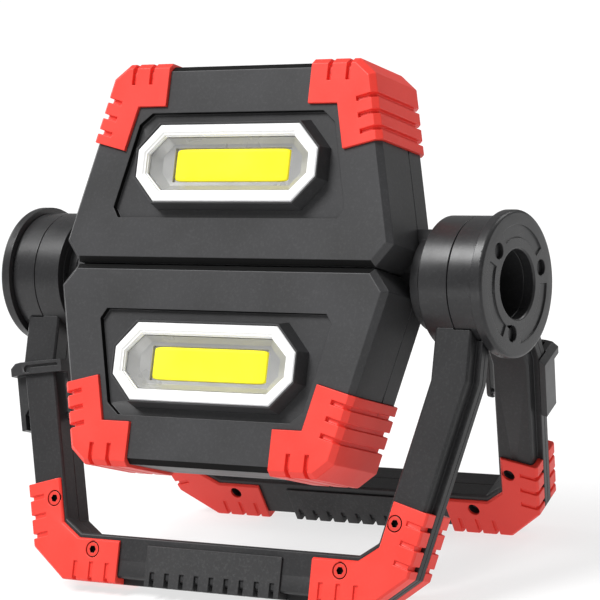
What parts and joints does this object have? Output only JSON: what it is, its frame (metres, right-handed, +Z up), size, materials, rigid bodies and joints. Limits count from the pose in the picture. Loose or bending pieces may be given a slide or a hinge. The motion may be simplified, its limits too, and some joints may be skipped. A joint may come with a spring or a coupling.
{
  "type": "work light",
  "caption": "Folding twin-head work light: two hinged lamp heads with long bright emitters, on two swinging U-shaped stands that share the side hubs.",
  "frame": {"origin": "on the floor, at the bottom centre of the object, under the middle of the hub axis", "axes": "+X along the hub axis to the lamp's right as seen from the lit side, +Y away from the lit side, +Z up"},
  "size_m": [0.22, 0.122, 0.1967],
  "materials": {
    "black_shell": "matte moulded plastic",
    "black_hub": "satin moulded plastic",
    "black_hook": "matte moulded plastic",
    "red_guard": "soft overmoulded rubber",
    "rubber_grip": "moulded rubber",
    "rubber_button": "moulded rubber",
    "white_frame": "white moulded plastic",
    "clear_lens": "clear plastic",
    "grey_reflector": "satin grey",
    "yellow_emitter": "phosphor",
    "bare_aluminium": "milled",
    "cell_wrap": "shrink wrap",
    "circuit_board": "solder mask",
    "steel_screw": "plated",
    "black_screw": "black oxide",
    "red_screw": "red lacquer"
  },
  "bodies": {
    "lower_head": {"lower_front_case": "black_shell", "lower_rear_case": "black_shell", "lower_right_guard": "red_guard", "lower_left_guard": "red_guard", "lower_bezel": "black_shell", "lower_lamp_frame": "white_frame", "lower_lens": "clear_lens", "lower_reflector": "grey_reflector", "lower_led_emitter": "yellow_emitter", "lower_led_board": "bare_aluminium", "lower_heat_sink": "bare_aluminium", "lower_cells": "cell_wrap", "lower_control_board": "circuit_board", "lower_case_screws": "steel_screw", "charging_socket": "steel_screw", "left_pivot": "black_hub", "right_pivot": "black_hub", "left_hub_cap": "black_hub", "right_hub_cap": "black_hub", "hub_cap_screws": "black_screw"},
    "upper_head": {"upper_front_case": "black_shell", "upper_rear_case": "black_shell", "upper_right_guard": "red_guard", "upper_left_guard": "red_guard", "upper_bezel": "black_shell", "upper_lamp_frame": "white_frame", "upper_lens": "clear_lens", "upper_reflector": "grey_reflector", "upper_led_emitter": "yellow_emitter", "upper_led_board": "bare_aluminium", "upper_heat_sink": "bare_aluminium", "upper_cells": "cell_wrap", "upper_control_board": "circuit_board", "upper_case_screws": "steel_screw"},
    "upper_button": {"upper_button": "rubber_button"},
    "lower_button": {"lower_button": "rubber_button"},
    "port_cover": {"port_cover": "rubber_button"},
    "front_stand": {"front_stand_outer_shell": "black_shell", "front_stand_inner_shell": "black_shell", "front_stand_rings": "black_hub", "front_stand_outer_left_guard": "red_guard", "front_stand_outer_right_guard": "red_guard", "front_stand_inner_left_guard": "red_guard", "front_stand_inner_right_guard": "red_guard", "front_stand_grips": "rubber_grip", "front_stand_screws": "red_screw", "front_stand_hook_pin": "steel_screw"},
    "front_hook": {"front_stand_hook": "black_hook"},
    "rear_stand": {"rear_stand_outer_shell": "black_shell", "rear_stand_inner_shell": "black_shell", "rear_stand_rings": "black_hub", "rear_stand_outer_left_guard": "red_guard", "rear_stand_outer_right_guard": "red_guard", "rear_stand_inner_left_guard": "red_guard", "rear_stand_inner_right_guard": "red_guard", "rear_stand_grips": "rubber_grip", "rear_stand_screws": "red_screw", "rear_stand_hook_pin": "steel_screw"},
    "rear_hook": {"rear_stand_hook": "black_hook"}
  },
  "joints": [
    {"name": "upper_head_fold", "type": "hinge", "parent": "lower_head", "child": "upper_head", "pos_m": [0, 0, 0.1122], "axis": [1, 0, 0], "range_deg": [-178, 0]},
    {"name": "front_stand_swing", "type": "hinge", "parent": "lower_head", "child": "front_stand", "pos_m": [0, 0, 0.1122], "axis": [1, 0, 0], "range_deg": [-158, 21.5]},
    {"name": "rear_stand_swing", "type": "hinge", "parent": "lower_head", "child": "rear_stand", "pos_m": [0, 0, 0.1122], "axis": [1, 0, 0], "range_deg": [-21.5, 158]},
    {"name": "front_hook_swing", "type": "hinge", "parent": "front_stand", "child": "front_hook", "pos_m": [-0.08868, -0.03028, 0.06033], "axis": [-0.9681, -0.0931, -0.2327], "range_deg": [-95, 0]},
    {"name": "rear_hook_swing", "type": "hinge", "parent": "rear_stand", "child": "rear_hook", "pos_m": [0.08868, 0.03028, 0.06033], "axis": [0.9681, 0.0931, -0.2327], "range_deg": [-95, 0]},
    {"name": "upper_button_press", "type": "slide", "parent": "upper_head", "child": "upper_button", "axis": [0, -0.9225, 0.3859], "range_m": [0, 0.001], "stiffness_N_per_m": 900},
    {"name": "lower_button_press", "type": "slide", "parent": "lower_head", "child": "lower_button", "axis": [0, -0.9225, 0.3859], "range_m": [0, 0.001], "stiffness_N_per_m": 900},
    {"name": "port_cover_flap", "type": "hinge", "parent": "lower_head", "child": "port_cover", "pos_m": [-0.024, -0.02358, 0.05919], "axis": [0, 0.3859, 0.9225], "range_deg": [0, 110]}
  ]
}
